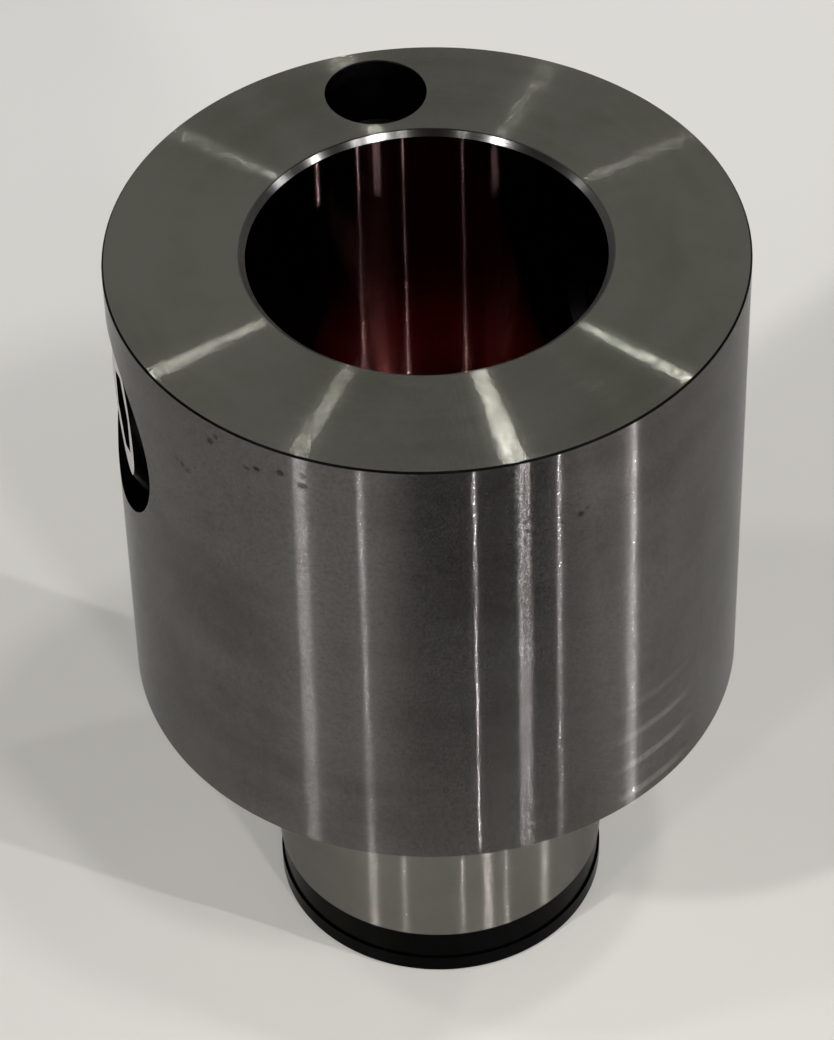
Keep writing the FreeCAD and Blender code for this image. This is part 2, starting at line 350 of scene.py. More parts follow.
@dataclass(frozen=True)
class FeedRings:
    """Light rings that the grinding wheel left on one patch low on the side.

    The rings are the crests of a wave along the axis, whose rate is in radians for each metre. The
    patch ends above at some height, and at both sides where x has some share of the radius.
    """

    strength: float
    rate: float = 919.9
    phase: float = 2.76
    crest: float = 0.55
    upper_end: Span = (0.066, 0.086)
    near_end: Span = (0.36, 0.50)
    far_end: Span = (0.58, 0.72)
    colour: Colour = (0.45, 0.43, 0.42)

    def over(self, shader: Shader, place: Place,
             colour: bpy.types.NodeSocket) -> bpy.types.NodeSocket:
        """Lighten a colour on the rings."""
        wave = (place.z * self.rate - self.phase).of("COSINE")
        low = 1.0 - place.z.step(*self.upper_end)
        share = place.x / place.radius
        patch = low * share.step(*self.near_end) * (1.0 - share.step(*self.far_end))
        return shader.blend(wave.step(self.crest, 1.0) * patch * self.strength, colour, self.colour)


@dataclass(frozen=True)
class Grain:
    """Fine dark specks all over a ground surface."""

    strength: float
    scale: float = 1300.0
    detail: float = 3.0
    roughness: float = 0.7
    threshold: Span = (0.42, 0.62)
    colour: Colour = (0.03, 0.026, 0.024)

    def over(self, shader: Shader, place: Place,
             colour: bpy.types.NodeSocket) -> bpy.types.NodeSocket:
        """Darken a colour on the specks."""
        specks = shader.noise(place.vector, self.scale, self.detail, self.roughness)
        return shader.blend(specks.step(*self.threshold) * self.strength, colour, self.colour)


@dataclass(frozen=True)
class Scuffs:
    """Dark flecks in one upright strip high on the front of the side."""

    strength: float
    scale: float = 1500.0
    threshold: Span = (0.50, 0.62)
    middle: float = 0.0036
    half_width: Span = (0.0012, 0.003)
    lower_end: Span = (0.098, 0.122)
    colour: Colour = (0.02, 0.015, 0.012)

    def over(self, shader: Shader, place: Place,
             colour: bpy.types.NodeSocket) -> bpy.types.NodeSocket:
        """Darken a colour on the flecks."""
        flecks = shader.noise(place.vector, self.scale).step(*self.threshold)
        strip = 1.0 - (place.x - self.middle).of("ABSOLUTE").step(*self.half_width)
        share = flecks * strip * place.z.step(*self.lower_end) * self.strength
        return shader.blend(share, colour, self.colour)


SIDE_MARKS = (
    Mark(-0.0003, -0.0500, 0.1210, 0.00026, 0.95),
    Mark(0.0094, -0.0491, 0.1274, 0.00049, 0.77),
    Mark(0.0097, -0.0490, 0.1257, 0.00046, 0.70),
    Mark(0.0129, -0.0483, 0.1260, 0.00081, 0.70),
    Mark(0.0139, -0.0480, 0.1268, 0.00061, 0.42),
    Mark(-0.0438, -0.0241, 0.1272, 0.00068, 0.56),
    Mark(-0.0432, -0.0252, 0.1269, 0.00081, 0.59),
    Mark(-0.0425, -0.0263, 0.1265, 0.00068, 0.56),
    Mark(-0.0394, -0.0308, 0.1360, 0.00088, 0.70),
    Mark(-0.0386, -0.0317, 0.1375, 0.00068, 0.63),
    Mark(-0.0349, -0.0358, 0.1341, 0.00081, 0.56, 0.5),
    Mark(-0.0336, -0.0370, 0.1348, 0.00081, 0.84, 0.7),
    Mark(-0.0305, -0.0396, 0.1357, 0.00081, 0.70),
    Mark(-0.0277, -0.0417, 0.1344, 0.00122, 0.70, 0.7),
    Mark(-0.0275, -0.0418, 0.1365, 0.00081, 0.49),
)
SPIGOT_MARKS = (Mark(0.0230, -0.0159, 0.0110, 0.00045, 0.85),)


@dataclass(frozen=True)
class TurnedSteel:
    """Steel with fine grooves round the axis, as turning and grinding leave it.

    The grooves tilt the surface along the profile and never round the axis, so a lamp shows as a
    narrow streak that runs across them.
    """

    name: str
    colour: Colour
    stain: Colour
    roughness: float = 0.20
    groove_tilt: float = 2.0
    groove_spacing: float = 0.00003
    groove_breaks: float = 600.0
    line_tilt: float = 0.25
    line_spacing: float = 0.0006
    line_breaks: float = 6.0
    line_roughness: float = 0.03
    band_spacing: float = 0.00625
    band_breaks: float = 1.2
    cloud_scale: float = 38.0
    cloud_share: float = 0.7
    cloud_roughness: float = 0.05
    stained: Span = (0.42, 0.66)
    anisotropy: float = 1.0
    rotation: float = 0.25
    grazing: float = 1.0
    wear: tuple[Wear, ...] = ()

    def make(self) -> bpy.types.Material:
        """Build the material.

        Returns:
            The finished material.
        """
        shader = Shader(bpy.data.materials.new(self.name))
        place = Place.on(shader)
        groove_rings = ring_vector(shader, place, self.groove_breaks, self.groove_spacing)
        line_rings = ring_vector(shader, place, self.line_breaks, self.line_spacing)
        band_rings = ring_vector(shader, place, self.band_breaks, self.band_spacing)
        grooves = shader.noise(groove_rings, 1.0, 0.0) - 0.5
        lines = shader.noise(line_rings, 1.0, 2.0) - 0.5
        bands = shader.noise(band_rings, 1.0, 3.0)
        clouds = shader.noise(place.vector, self.cloud_scale, 4.0, 0.6)
        patches = clouds * self.cloud_share + bands * (1.0 - self.cloud_share)
        colour = shader.blend(patches.step(*self.stained), self.colour, self.stain)
        for layer in self.wear:
            colour = layer.over(shader, place, colour)
        uneven = lines * self.line_roughness + (clouds - 0.5) * self.cloud_roughness
        tilt = grooves * self.groove_tilt + lines * self.line_tilt
        normal = shader.node("ShaderNodeNewGeometry").outputs["Normal"]
        principled = shader.node("ShaderNodeBsdfPrincipled", {}, {
            "Base Color": colour, "Metallic": 1.0, "Roughness": self.roughness + uneven,
            "Anisotropic": self.anisotropy, "Anisotropic Rotation": self.rotation,
            "Specular Tint": (self.grazing, self.grazing, self.grazing),
            "Normal": tilted(shader, place, normal, tilt)})
        shader.surface(principled.outputs[0])
        return shader.owner


@dataclass(frozen=True)
class PlainSteel:
    """Steel of the small parts, such as black oxide screws or hardened pins."""

    name: str
    colour: Colour
    worn: Colour
    roughness: float
    cloud_scale: float = 160.0
    cloud_roughness: float = 0.15
    rubbed: Span = (0.45, 0.75)
    grain_scale: float = 900.0
    grain_roughness: float = 0.08
    grain_depth: float = 0.00001
    grain_strength: float = 0.5
    grazing: float = 1.0

    def make(self) -> bpy.types.Material:
        """Build the material.

        Returns:
            The finished material.
        """
        shader = Shader(bpy.data.materials.new(self.name))
        place = Place.on(shader)
        clouds = shader.noise(place.vector, self.cloud_scale, 3.0, 0.6)
        grain = shader.noise(place.vector, self.grain_scale)
        colour = shader.blend(clouds.step(*self.rubbed), self.colour, self.worn)
        uneven = (clouds - 0.5) * self.cloud_roughness + (grain - 0.5) * self.grain_roughness
        bump = shader.node("ShaderNodeBump", {}, {
            "Strength": self.grain_strength, "Distance": self.grain_depth, "Height": grain})
        principled = shader.node("ShaderNodeBsdfPrincipled", {}, {
            "Base Color": colour, "Metallic": 1.0, "Roughness": self.roughness + uneven,
            "Specular Tint": (self.grazing, self.grazing, self.grazing),
            "Normal": bump.outputs[0]})
        shader.surface(principled.outputs[0])
        return shader.owner


@dataclass(frozen=True)
class MouldedPlastic:
    """Glossy moulded plastic with faint flow marks and handling dust."""

    name: str
    colour: Colour
    dusty: Colour
    roughness: float
    shine: float = 0.5
    dust_scale: float = 220.0
    dust_roughness: float = 0.12
    dust_cover: Span = (0.55, 0.85)
    skin_scale: float = 1400.0
    skin_depth: float = 0.00001
    skin_strength: float = 0.4

    def make(self) -> bpy.types.Material:
        """Build the material.

        Returns:
            The finished material.
        """
        shader = Shader(bpy.data.materials.new(self.name))
        place = Place.on(shader)
        dust = shader.noise(place.vector, self.dust_scale, 5.0, 0.7)
        skin = shader.noise(place.vector, self.skin_scale)
        colour = shader.blend(dust.step(*self.dust_cover), self.colour, self.dusty)
        bump = shader.node("ShaderNodeBump", {}, {
            "Strength": self.skin_strength, "Distance": self.skin_depth, "Height": skin})
        principled = shader.node("ShaderNodeBsdfPrincipled", {}, {
            "Base Color": colour, "Roughness": self.roughness + dust * self.dust_roughness,
            "Specular IOR Level": self.shine, "Normal": bump.outputs[0]})
        shader.surface(principled.outputs[0])
        return shader.owner


class Finish(Enum):
    """The finishes of the object, each with the material slot that it belongs to."""

    FACE = ("ground_steel", TurnedSteel(
        "turned_face", (0.56, 0.56, 0.485), (0.46, 0.46, 0.385), 0.13, groove_tilt=1.85,
        line_tilt=0.10, line_spacing=0.0005, line_roughness=0.18))
    # Painted shade: the side and the spigot are the same steel as the face, painted darker for the
    # dark that they reflect.
    SIDE = ("ground_steel", TurnedSteel(
        "ground_side", (0.123, 0.117, 0.114), (0.088, 0.081, 0.077), 0.105, line_tilt=0.05,
        grazing=0.72, wear=(FeedRings(0.36), Grain(0.22), Scuffs(0.6), *SIDE_MARKS)))
    SPIGOT = ("ground_steel", TurnedSteel(
        "ground_spigot", (0.195, 0.186, 0.173), (0.169, 0.156, 0.142), 0.11, line_tilt=0.10,
        grazing=0.66, wear=SPIGOT_MARKS))
    # Painted shade and painted reflection: the honed bore is painted near black for the shade in
    # the socket, with a red tint and a lighter foot for the red plug that it reflects.
    BORE = ("ground_steel", TurnedSteel(
        "honed_bore", (0.018, 0.011, 0.011), (0.013, 0.008, 0.008), 0.08, groove_tilt=2.2,
        wear=(PaintedFootReflection((0.15, 0.072, 0.068)),)))
    EDGE = ("ground_steel", PlainSteel(
        "broken_edge", (0.32, 0.31, 0.30), (0.40, 0.39, 0.38), 0.28))
    MOUTH = ("ground_steel", TurnedSteel(
        "socket_chamfer", (0.36, 0.35, 0.34), (0.30, 0.29, 0.28), 0.28, groove_tilt=1.2))
    EASED = ("ground_steel", TurnedSteel(
        "eased_edge", (0.30, 0.30, 0.27), (0.26, 0.26, 0.23), 0.12, groove_tilt=0.2,
        line_tilt=0.05))
    # Painted shade: the outer edge breaks are painted near black for the dark line that these
    # rounded edges show.
    RIM = ("ground_steel", PlainSteel(
        "outer_edge", (0.004, 0.004, 0.004), (0.008, 0.008, 0.007), 0.50))
    # Painted shade: the inside of the holes is painted near black for the shade deep in them.
    HOLE = ("ground_steel", PlainSteel(
        "drilled_hole", (0.004, 0.004, 0.004), (0.008, 0.007, 0.007), 0.45, grazing=0.12))
    SCREW = ("screw_steel", PlainSteel(
        "black_oxide_screw", (0.008, 0.008, 0.009), (0.02, 0.019, 0.019), 0.32, grazing=0.3))
    SCREW_END = ("screw_steel", PlainSteel(
        "worn_screw_end", (0.55, 0.54, 0.53), (0.65, 0.64, 0.63), 0.40))
    PIN = ("pin_steel", PlainSteel(
        "hardened_pin", (0.50, 0.50, 0.49), (0.60, 0.60, 0.58), 0.25))
    CAP = ("black_plastic", MouldedPlastic(
        "black_cap_plastic", (0.0006, 0.0006, 0.0006), (0.0016, 0.0016, 0.0017), 0.14, 0.02))
    PLUG = ("red_plastic", MouldedPlastic(
        "red_plug_plastic", (0.85, 0.006, 0.008), (0.85, 0.03, 0.03), 0.30))

    @property
    def slot(self) -> str:
        """Name of the record's material slot."""
        return self.value[0]

    @property
    def material(self) -> bpy.types.Material:
        """The finish's material, made the first time that it is asked for."""
        recipe = self.value[1]
        return bpy.data.materials.get(recipe.name) or recipe.make()


@dataclass(frozen=True)
class Band:
    """One line of a turned profile, from the corner before it to this corner."""

    radius: float
    height: float
    finish: Finish


@dataclass
class TurnedForm:
    """A profile turned about an axis, as a blank or as a cutter."""

    bands: Sequence[Band]
    origin: Vector
    axis: Vector
    segments: int

    @property
    def turn(self) -> Matrix:
        """Placement of the form, whose profile is drawn along +Z."""
        rotation = UP.rotation_difference(self.axis).to_matrix().to_4x4()
        return Matrix.Translation(self.origin) @ rotation


@dataclass
class LathePiece:
    """One steel or plastic piece: a turned blank less its turned and hexagonal cutters.

    A face is shaded flat where it lies square to its axis, where its normal leans aside from the
    axis by more than the limit, and where its form has few sides, such as a hexagon.
    """

    name: str
    blank: TurnedForm
    cutters: Sequence[TurnedForm] = ()
    square_limit: float = 0.9999
    aside_limit: float = 0.2
    fewest_round_sides: int = 12

    def regions(self) -> list[tuple[TurnedForm, Finish]]:
        """Every pair of form and finish, in the order of the material slots."""
        found: list[tuple[TurnedForm, Finish]] = []
        for form in (self.blank, *self.cutters):
            for band in form.bands:
                if not any(known is form and finish is band.finish for known, finish in found):
                    found.append((form, band.finish))
        return found

    def slot_of(self, form: TurnedForm, finish: Finish) -> int:
        """Index of the material slot of one finish on one form."""
        for index, (known, wanted) in enumerate(self.regions()):
            if known is form and wanted is finish:
                return index
        raise ValueError("the form has no such finish")

    def mesh_of(self, form: TurnedForm) -> bpy.types.Object:
        """Turn one profile into a closed mesh.

        Args:
            form: The blank or a cutter.

        Returns:
            A mesh object in its place, with a slot for every region of the piece.
        """
        vertices: list[Vector] = []
        rings: list[list[int]] = []
        for band in form.bands:
            count = 1 if band.radius < TINY else form.segments
            ring = []
            for step in range(count):
                angle = 2.0 * math.pi * step / form.segments
                point = Vector((band.radius * math.cos(angle), band.radius * math.sin(angle),
                                band.height))
                ring.append(len(vertices))
                vertices.append(form.turn @ point)
            rings.append(ring)
        faces: list[list[int]] = []
        slots: list[int] = []
        for index, band in enumerate(form.bands):
            before = rings[index - 1]
            after = rings[index]
            if len(before) == 1 and len(after) == 1:
                continue
            slot = self.slot_of(form, band.finish)
            for step in range(form.segments):
                onward = (step + 1) % form.segments
                if len(before) == 1:
                    face = [before[0], after[onward], after[step]]
                elif len(after) == 1:
                    face = [before[step], before[onward], after[0]]
                else:
                    face = [before[step], before[onward], after[onward], after[step]]
                faces.append(face)
                slots.append(slot)
        mesh = bpy.data.meshes.new(self.name)
        mesh.from_pydata(vertices, [], faces)
        for _, finish in self.regions():
            mesh.materials.append(finish.material)
        mesh.polygons.foreach_set("material_index", slots)
        mesh.update()
        made = bpy.data.objects.new(self.name, mesh)
        bpy.context.scene.collection.objects.link(made)
        return made

    def build(self) -> bpy.types.Object:
        """Make the piece: cut the blank, then give each face the normals of its true surface.

        Returns:
            The finished object.
        """
        made = self.mesh_of(self.blank)
        helpers = []
        for form in self.cutters:
            cutter = self.mesh_of(form)
            helpers.append(cutter)
            modifier = made.modifiers.new("cut", "BOOLEAN")
            modifier.operation = "DIFFERENCE"
            modifier.solver = "EXACT"
            modifier.material_mode = "INDEX"
            modifier.object = cutter
        if helpers:
            bpy.context.view_layer.update()
            graph = bpy.context.evaluated_depsgraph_get()
            cut = bpy.data.meshes.new_from_object(made.evaluated_get(graph))
            made.modifiers.clear()
            made.data = cut
            for helper in helpers:
                bpy.data.objects.remove(helper)
        made.data.name = self.name
        self.set_normals(made.data)
        return made

    def set_normals(self, mesh: bpy.types.Mesh) -> None:
        """Give every face corner the normal of the turned surface that the face belongs to."""
        regions = self.regions()
        normals: list[Vector] = [UP] * len(mesh.loops)
        for face in mesh.polygons:
            form, _ = regions[face.material_index]
            axis = form.axis.normalized()
            centre = outward(face.center, form.origin, axis)
            along = face.normal.dot(axis)
            across = face.normal.dot(centre)
            aside = (face.normal - axis * along - centre * across).length
            flat = (abs(along) > self.square_limit or aside > self.aside_limit
                    or form.segments < self.fewest_round_sides)
            for corner in face.loop_indices:
                point = mesh.vertices[mesh.loops[corner].vertex_index].co
                if flat:
                    normals[corner] = face.normal.copy()
                else:
                    radial = outward(point, form.origin, axis)
                    normals[corner] = (axis * along + radial * across).normalized()
        for face in mesh.polygons:
            face.use_smooth = True
        mesh.normals_split_custom_set([tuple(normal) for normal in normals])
        mesh.update()


def outward(point: Vector, origin: Vector, axis: Vector) -> Vector:
    """Direction from an axis straight out to a point, or zero on the axis itself."""
    offset = point - origin
    offset = offset - axis * offset.dot(axis)
    return offset.normalized() if offset.length > TINY else Vector((0.0, 0.0, 0.0))


def profile(finish: Finish, *corners: Corner | tuple[float, float, Finish]) -> list[Band]:
    """Bands of a profile.

    Args:
        finish: The finish of every band that names none.
        corners: Radius and height of each corner, and the finish of the line that leads to it.

    Returns:
        The bands in order.
    """
    return [Band(corner[0], corner[1], corner[2] if len(corner) > 2 else finish)
            for corner in corners]


@dataclass
class CouplingSizes:
    """Sizes that the pieces of the coupling share."""

    socket_radius: float = 0.028
    foot: float = 0.0
    cap_floor: float = 0.002
    nose_shoulder: float = 0.0095
    flange: float = 0.055
    top: float = 0.140
    socket_floor: float = 0.082
    screw_height: float = 0.116
    pin_height: float = 0.0314
    coolant_radius: float = 0.007
    body_radius: float = 0.050
    locating_radius: float = 0.0392
    locating_hole_radius: float = 0.008


@dataclass
class HolderBody:
    """The one-piece steel body with its socket, spigot and radial holes."""

    sizes: CouplingSizes
    edge_break: float = 0.0003
    spigot_radius: float = 0.02799
    spigot_relief: float = 0.0003
    spigot_relief_height: float = 0.0025
    spigot_edge: float = 0.0003
    nose_radius: float = 0.026
    nose_chamfer: float = 0.001
    socket_chamfer: float = 0.00085
    socket_line: float = 0.00022
    socket_ease: float = 0.00009
    socket_relief: float = 0.0005
    socket_relief_height: float = 0.004
    coolant_chamfer: float = 0.001
    screw_tip_radius: float = 0.012
    screw_thread_radius: float = 0.015
    screw_mouth_radius: float = 0.016
    screw_mouth_depth: float = 0.005
    screw_mouth_chamfer: float = 0.0003
    screw_shoulder: float = 0.0325
    pin_bore_radius: float = 0.010
    pin_bore_edge: float = 0.0005
    retainer_radius: float = 0.004
    retainer_start: float = 0.006
    locating_depth: float = 0.012
    locating_chamfer: float = 0.0002
    pin_seat_depth: float = 0.010
    pin_seat_clearance: float = 0.00001
    drill_slope: float = 0.6009

    def blank(self) -> TurnedForm:
        """The turned form before the holes are cut."""
        s = self.sizes
        spigot = self.spigot_radius
        relief = s.socket_radius + self.socket_relief
        return TurnedForm(profile(
            Finish.SPIGOT,
            (s.coolant_radius, s.cap_floor, Finish.BORE),
            (self.nose_radius - self.nose_chamfer, s.cap_floor),
            (self.nose_radius, s.cap_floor + self.nose_chamfer),
            (self.nose_radius, s.nose_shoulder),
            (spigot - self.spigot_edge, s.nose_shoulder),
            (spigot, s.nose_shoulder + self.spigot_edge, Finish.EDGE),
            (spigot, s.flange - self.spigot_relief_height),
            (spigot - self.spigot_relief, s.flange - self.spigot_relief_height),
            (spigot - self.spigot_relief, s.flange),
            (s.body_radius - self.edge_break, s.flange, Finish.FACE),
            (s.body_radius, s.flange + self.edge_break, Finish.RIM),
            (s.body_radius, s.top - self.edge_break, Finish.SIDE),
            (s.body_radius - self.edge_break, s.top, Finish.RIM),
            (s.socket_radius + self.socket_chamfer + self.socket_line, s.top, Finish.FACE),
            (s.socket_radius + self.socket_chamfer, s.top - self.socket_ease, Finish.EASED),
            (s.socket_radius, s.top - self.socket_chamfer, Finish.MOUTH),
            (s.socket_radius, s.socket_floor + self.socket_relief_height, Finish.BORE),
            (relief, s.socket_floor + self.socket_relief_height, Finish.BORE),
            (relief, s.socket_floor, Finish.BORE),
            (s.coolant_radius + self.coolant_chamfer, s.socket_floor, Finish.BORE),
            (s.coolant_radius, s.socket_floor - self.coolant_chamfer, Finish.EDGE),
        ), at_height(0.0), UP, BODY_SEGMENTS)

    def screw_hole(self, side: Vector) -> TurnedForm:
        """Stepped hole of one radial screw."""
        s = self.sizes
        inside = s.socket_radius - self.screw_tip_radius
        floor = s.body_radius - self.screw_mouth_depth
        flare = self.screw_mouth_radius + self.screw_mouth_chamfer + OVERRUN
        return TurnedForm(profile(
            Finish.HOLE,
            (0.0, inside),
            (self.screw_tip_radius, inside),
            (self.screw_tip_radius, self.screw_shoulder),
            (self.screw_thread_radius, self.screw_shoulder),
            (self.screw_thread_radius, floor),
            (self.screw_mouth_radius, floor),
            (self.screw_mouth_radius, s.body_radius - self.screw_mouth_chamfer),
            (flare, s.body_radius + OVERRUN),
            (0.0, s.body_radius + OVERRUN),
        ), at_height(s.screw_height), side, SCREW_SEGMENTS)

    def pin_bore(self) -> TurnedForm:
        """Bore of the floating pin across the spigot."""
        reach = self.spigot_radius + OVERRUN
        straight = self.spigot_radius - self.pin_bore_edge
        flare = self.pin_bore_radius + self.pin_bore_edge + OVERRUN
        return TurnedForm(profile(
            Finish.HOLE,
            (0.0, -reach),
            (flare, -reach),
            (self.pin_bore_radius, -straight, Finish.EDGE),
            (self.pin_bore_radius, straight),
            (flare, reach, Finish.EDGE),
            (0.0, reach),
        ), at_height(self.sizes.pin_height), RETAINING_SIDE, PIN_SEGMENTS)

    def retainer_hole(self) -> TurnedForm:
        """Threaded hole of the small dog point screw."""
        end = self.spigot_radius + OVERRUN
        return TurnedForm(profile(
            Finish.HOLE,
            (0.0, self.retainer_start),
            (self.retainer_radius, self.retainer_start),
            (self.retainer_radius, end),
            (0.0, end),
        ), at_height(self.sizes.pin_height), RETAINER_SIDE, SMALL_HOLE_SEGMENTS)

    def blind_hole(self, radius: float, depth: float, chamfer: float, mouth: Vector,
                   outward_axis: Vector) -> TurnedForm:
        """Drilled blind hole that opens along an axis."""
        return TurnedForm(profile(
            Finish.HOLE,
            (0.0, -depth - radius * self.drill_slope),
            (radius, -depth),
            (radius, -chamfer),
            (radius + chamfer + OVERRUN, OVERRUN),
            (0.0, OVERRUN),
        ), mouth, outward_axis, PIN_SEGMENTS)

    def piece(self) -> LathePiece:
        """The body with its cutters."""
        s = self.sizes
        above = LOCATING_SIDE * s.locating_radius + at_height(s.top)
        below = LOCATING_SIDE * s.locating_radius + at_height(s.flange)
        seat = s.locating_hole_radius + self.pin_seat_clearance
        return LathePiece("holder_body_ground", self.blank(), [
            self.screw_hole(THRUST_SIDE),
            self.screw_hole(RETAINING_SIDE),
            self.pin_bore(),
            self.retainer_hole(),
            self.blind_hole(s.locating_hole_radius, self.locating_depth, self.locating_chamfer,
                            above, UP),
            self.blind_hole(seat, self.pin_seat_depth, 0.0, below, -UP),
        ])

    def build(self) -> list[bpy.types.Object]:
        """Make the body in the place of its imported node.

        Returns:
            The pieces that were made.
        """
        body = self.piece().build()
        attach(body, "holder")
        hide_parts("holder_body")
        return [body]


@dataclass
class ClampingScrews:
    """The two headless screws in the socket wall, each with a hexagon socket outside."""

    sizes: CouplingSizes
    end_radius: float = 0.010
    outer_end: float = 0.0489
    cone_start: float = 0.0460
    thread_radius: float = 0.01495
    tip_radius: float = 0.01195
    tip_end: float = 0.0282
    thrust_point_radius: float = 0.005
    thrust_thread_start: float = 0.037
    thrust_thread_chamfer: float = 0.0012
    retaining_thread_start: float = 0.0325
    cup_radius: float = 0.010
    cup_depth: float = 0.006
    key_radius: float = 0.006928
    key_floor: float = 0.0424

    def outer_bands(self) -> list[Band]:
        """Profile of the thread's outer part, the cone and the flat ring."""
        return profile(
            Finish.SCREW,
            (self.thread_radius, self.cone_start),
            (self.end_radius, self.outer_end),
            (0.0, self.outer_end, Finish.SCREW_END),
        )

    def thrust_bands(self) -> list[Band]:
        """Profile of the screw with the cone point."""
        thread_start = self.thrust_thread_start
        chamfer = self.thrust_thread_chamfer
        return profile(
            Finish.SCREW,
            (0.0, self.tip_end),
            (self.thrust_point_radius, self.tip_end),
            (self.tip_radius, self.tip_end + self.tip_radius - self.thrust_point_radius),
            (self.tip_radius, thread_start),
            (self.thread_radius - chamfer, thread_start),
            (self.thread_radius, thread_start + chamfer),
        ) + self.outer_bands()

    def retaining_bands(self) -> list[Band]:
        """Profile of the screw with the conical cup."""
        cup_floor = self.tip_end + self.cup_depth
        return profile(
            Finish.SCREW,
            (0.0, cup_floor),
            (self.cup_radius - self.cup_depth, cup_floor),
            (self.cup_radius, self.tip_end),
            (self.tip_radius, self.tip_end),
            (self.tip_radius, self.retaining_thread_start),
            (self.thread_radius, self.retaining_thread_start),
        ) + self.outer_bands()

    def screw(self, node: str, body: str, side: Vector,
              bands: Sequence[Band]) -> bpy.types.Object:
        """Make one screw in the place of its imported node.

        Args:
            node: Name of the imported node.
            body: Name of the body that the screw moves with.
            side: Direction of the screw's outer end.
            bands: Profile of the screw, measured outwards from the axis of the holder.

        Returns:
            The screw.
        """
        centre = at_height(self.sizes.screw_height)
        key = TurnedForm(profile(
            Finish.SCREW,
            (0.0, self.key_floor),
            (self.key_radius, self.key_floor),
            (self.key_radius, self.outer_end + OVERRUN),
            (0.0, self.outer_end + OVERRUN),
        ), centre, side, HEXAGON)
        blank = TurnedForm(bands, centre, side, SCREW_SEGMENTS)
        made = LathePiece(f"{node}_turned", blank, [key]).build()
        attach(made, body)
        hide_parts(node)
        return made

    def build(self) -> list[bpy.types.Object]:
        """Make both screws.

        Returns:
            The screws.
        """
        return [
            self.screw("thrust_screw", "thrust_screw_body", THRUST_SIDE, self.thrust_bands()),
            self.screw("retaining_screw", "holder", RETAINING_SIDE, self.retaining_bands()),
        ]


@dataclass
class PlasticParts:
    """The cap on the nose of the spigot and the plug on the floor of the socket."""

    sizes: CouplingSizes
    lip_radius: float = 0.02795
    lip_height: float = 0.0035
    lip_edge: float = 0.0005
    skirt_radius: float = 0.0276
    inner_radius: float = 0.02605
    plug_flange_radius: float = 0.017
    plug_flange_thickness: float = 0.0018
    plug_flange_edge: float = 0.0006
    plug_stem_radius: float = 0.0069
    plug_stem_length: float = 0.012
    plug_wall: float = 0.0014

    def cap(self) -> LathePiece:
        """The cap, with a thicker lip at its foot."""
        s = self.sizes
        return LathePiece("spigot_cap_moulded", TurnedForm(profile(
            Finish.CAP,
            (0.0, s.foot),
            (self.lip_radius - self.lip_edge, s.foot),
            (self.lip_radius, s.foot + self.lip_edge),
            (self.lip_radius, self.lip_height),
            (self.skirt_radius, self.lip_height),
            (self.skirt_radius, s.nose_shoulder),
            (self.inner_radius, s.nose_shoulder),
            (self.inner_radius, s.cap_floor),
            (0.0, s.cap_floor),
        ), at_height(0.0), UP, CAP_SEGMENTS))

    def plug(self) -> LathePiece:
        """The hollow plug, whose stem goes into the coolant bore."""
        s = self.sizes
        top = s.socket_floor + self.plug_flange_thickness
        end = s.socket_floor - self.plug_stem_length
        hollow = self.plug_stem_radius - self.plug_wall
        return LathePiece("socket_plug_moulded", TurnedForm(profile(
            Finish.PLUG,
            (0.0, end),
            (self.plug_stem_radius, end),
            (self.plug_stem_radius, s.socket_floor),
            (self.plug_flange_radius, s.socket_floor),
            (self.plug_flange_radius, top - self.plug_flange_edge),
            (self.plug_flange_radius - self.plug_flange_edge, top),
            (hollow, top),
            (hollow, end + self.plug_wall),
            (0.0, end + self.plug_wall),
        ), at_height(0.0), UP, SCREW_SEGMENTS))

    def build(self) -> list[bpy.types.Object]:
        """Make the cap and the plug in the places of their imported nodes.

        Returns:
            The pieces that were made.
        """
        made = []
        for node, piece, finish in (("spigot_cap", self.cap(), Finish.CAP),
                                    ("socket_plug", self.plug(), Finish.PLUG)):
            part = piece.build()
            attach(part, "holder")
            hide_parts(node)
            made.append(part)
        return made


